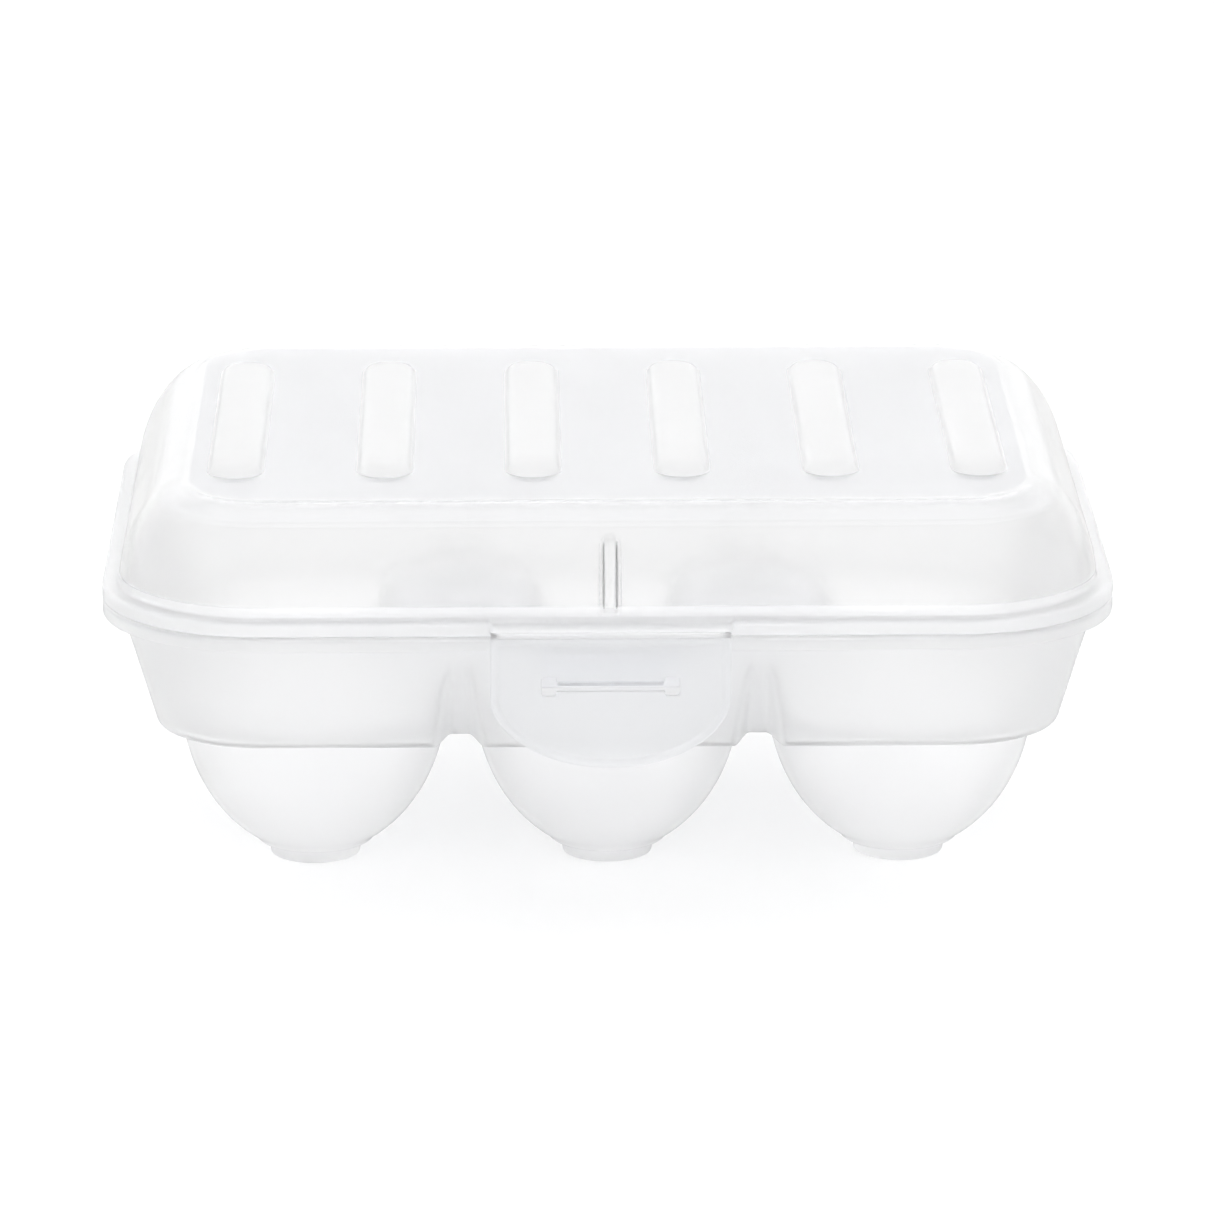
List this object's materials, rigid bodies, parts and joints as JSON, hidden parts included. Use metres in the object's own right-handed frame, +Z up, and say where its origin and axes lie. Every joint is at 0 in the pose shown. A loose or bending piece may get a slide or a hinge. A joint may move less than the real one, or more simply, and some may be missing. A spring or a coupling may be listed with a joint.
{
  "type": "egg carton",
  "caption": "Clear plastic carton that holds hens' eggs in round cups under a hinged, ribbed lid, closed by a latch flap at the front.",
  "frame": {"origin": "on the surface that the feet stand on, under the centre of the carton's bounding box", "axes": "+X along the carton's length, to the right as seen from the latch; +Y from the latch to the lid's hinge; +Z up"},
  "size_m": [0.17, 0.1288, 0.0712],
  "materials": {
    "tray_plastic": "frosted clear polypropylene, satin",
    "lid_plastic": "frosted clear polypropylene, satin",
    "latch_plastic": "frosted clear polypropylene, satin",
    "film_plastic": "thin whitened polypropylene hinge film"
  },
  "bodies": {
    "base": {"base_tray": "tray_plastic", "base_rim": "tray_plastic", "egg_cup_front_left": "tray_plastic", "egg_cup_front_middle": "tray_plastic", "egg_cup_front_right": "tray_plastic", "egg_cup_rear_left": "tray_plastic", "egg_cup_rear_middle": "tray_plastic", "egg_cup_rear_right": "tray_plastic", "divider_post_left": "tray_plastic", "divider_post_right": "tray_plastic", "wall_divider_front_left": "tray_plastic", "wall_divider_front_right": "tray_plastic", "wall_divider_rear_left": "tray_plastic", "wall_divider_rear_right": "tray_plastic", "latch_catch": "tray_plastic", "rear_hinge_film": "film_plastic"},
    "lid": {"lid_shell": "lid_plastic", "lid_rim": "lid_plastic", "lid_rib_1": "lid_plastic", "lid_rib_2": "lid_plastic", "lid_rib_3": "lid_plastic", "lid_rib_4": "lid_plastic", "lid_rib_5": "lid_plastic", "lid_rib_6": "lid_plastic", "lid_front_stiffener": "lid_plastic", "latch_hinge_film": "film_plastic"},
    "latch": {"latch_flap": "latch_plastic"}
  },
  "joints": [
    {"name": "lid_hinge", "type": "hinge", "parent": "base", "child": "lid", "pos_m": [0, 0.06385, 0.04925], "axis": [-1, 0, 0], "range_deg": [0, 180], "deforming": ["rear_hinge_film"]},
    {"name": "latch_hinge", "type": "hinge", "parent": "lid", "child": "latch", "pos_m": [0, -0.06423, 0.0499], "axis": [-1, 0, 0], "range_deg": [0, 135], "deforming": ["latch_hinge_film"]}
  ]
}
